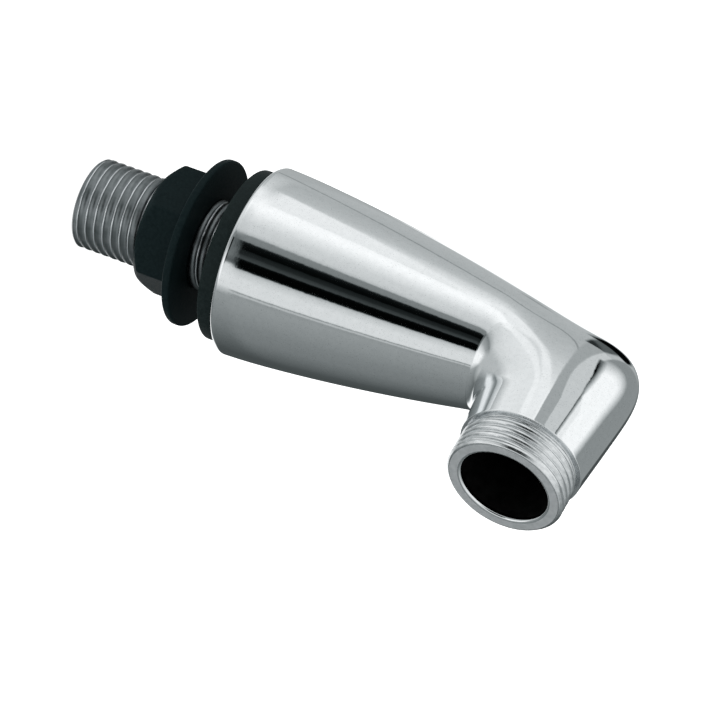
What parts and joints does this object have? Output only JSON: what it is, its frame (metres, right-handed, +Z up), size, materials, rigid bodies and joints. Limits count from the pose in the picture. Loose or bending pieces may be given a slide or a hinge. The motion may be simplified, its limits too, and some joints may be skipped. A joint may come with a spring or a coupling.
{
  "type": "bath mixer elbow",
  "caption": "Chrome pillar elbow that turns a threaded deck tail into a threaded side outlet, with a rubber gasket and a plastic backnut.",
  "frame": {"origin": "centre of the deck seat, which is the underside of the gasket, on the tail's axis", "axes": "+Z up the pillar away from the deck, -Y along the outlet's axis out of its mouth, +X to the right for a viewer who faces the mouth"},
  "size_m": [0.044, 0.0567, 0.1328],
  "materials": {
    "chrome_plate": "polished chrome plate",
    "tail_metal": "dull machined metal",
    "gasket_rubber": "matt black rubber",
    "nut_plastic": "satin black moulded plastic"
  },
  "bodies": {
    "root": {"elbow_body": "chrome_plate", "threaded_tail": "tail_metal", "base_gasket": "gasket_rubber", "backnut": "nut_plastic"}
  },
  "joints": []
}
